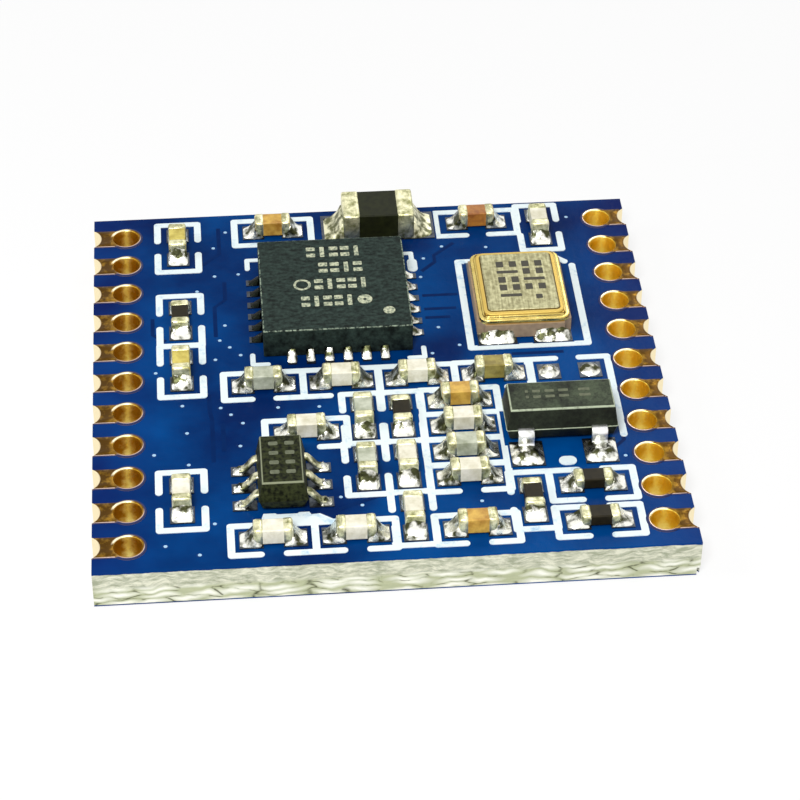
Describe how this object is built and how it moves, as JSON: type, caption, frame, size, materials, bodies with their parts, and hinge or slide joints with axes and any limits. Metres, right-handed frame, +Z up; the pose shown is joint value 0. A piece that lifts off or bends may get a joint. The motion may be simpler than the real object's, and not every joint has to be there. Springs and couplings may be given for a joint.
{
  "type": "radio transceiver module",
  "caption": "Small blue surface-mount radio module with gold half-hole edge pads, a radio chip, a crystal and many chip parts.",
  "frame": {"origin": "middle of the board's underside", "axes": "+Z up out of the component side, +X to the right along the longer side, +Y to the back edge with the large inductor"},
  "size_m": [0.0152, 0.0144, 0.0022],
  "materials": {
    "solder_mask_blue": "satin",
    "gold_plated_copper": "polished",
    "tinned_land": "satin",
    "legend_ink": "matte",
    "moulding_compound": "matte",
    "tinned_terminal": "satin",
    "bright_solder": "polished",
    "brown_ceramic": "matte",
    "gold_seal_ring": "polished",
    "nickel_lid": "satin",
    "ferrite": "matte",
    "plated_end": "satin",
    "yellow_ceramic": "satin",
    "cream_ceramic": "satin",
    "grey_ceramic": "satin",
    "brown_capacitor_ceramic": "satin",
    "orange_ceramic": "satin",
    "olive_ceramic": "satin",
    "resistor_glaze": "satin"
  },
  "bodies": {
    "root": {"circuit_board": "solder_mask_blue", "left_edge_pads": "gold_plated_copper", "right_edge_pads": "gold_plated_copper", "component_lands": "tinned_land", "printed_legend": "legend_ink", "radio_chip_body": "moulding_compound", "radio_chip_terminals": "tinned_terminal", "radio_chip_thermal_pad": "tinned_terminal", "radio_chip_solder": "bright_solder", "crystal_base": "brown_ceramic", "crystal_seal_ring": "gold_seal_ring", "crystal_lid": "nickel_lid", "crystal_terminals": "gold_plated_copper", "crystal_solder": "bright_solder", "transistor_body": "moulding_compound", "transistor_leads": "tinned_terminal", "transistor_solder": "bright_solder", "antenna_switch_body": "moulding_compound", "antenna_switch_leads": "tinned_terminal", "antenna_switch_solder": "bright_solder", "inductor_body": "ferrite", "inductor_ends": "plated_end", "inductor_solder": "bright_solder", "capacitor_ends": "plated_end", "resistor_ends": "plated_end", "chip_part_solder": "bright_solder", "spare_land_solder": "bright_solder", "capacitor_1": "yellow_ceramic", "capacitor_2": "yellow_ceramic", "capacitor_3": "cream_ceramic", "capacitor_4": "cream_ceramic", "capacitor_5": "grey_ceramic", "capacitor_6": "grey_ceramic", "capacitor_7": "cream_ceramic", "capacitor_8": "cream_ceramic", "capacitor_9": "orange_ceramic", "capacitor_10": "brown_capacitor_ceramic", "capacitor_11": "grey_ceramic", "capacitor_12": "cream_ceramic", "capacitor_13": "cream_ceramic", "capacitor_14": "olive_ceramic", "capacitor_15": "orange_ceramic", "capacitor_16": "cream_ceramic", "capacitor_17": "grey_ceramic", "capacitor_18": "cream_ceramic", "capacitor_19": "cream_ceramic", "capacitor_20": "cream_ceramic", "capacitor_21": "cream_ceramic", "capacitor_22": "orange_ceramic", "resistor_1": "resistor_glaze", "resistor_2": "resistor_glaze", "resistor_3": "resistor_glaze", "resistor_4": "resistor_glaze", "resistor_5": "resistor_glaze"}
  },
  "joints": []
}
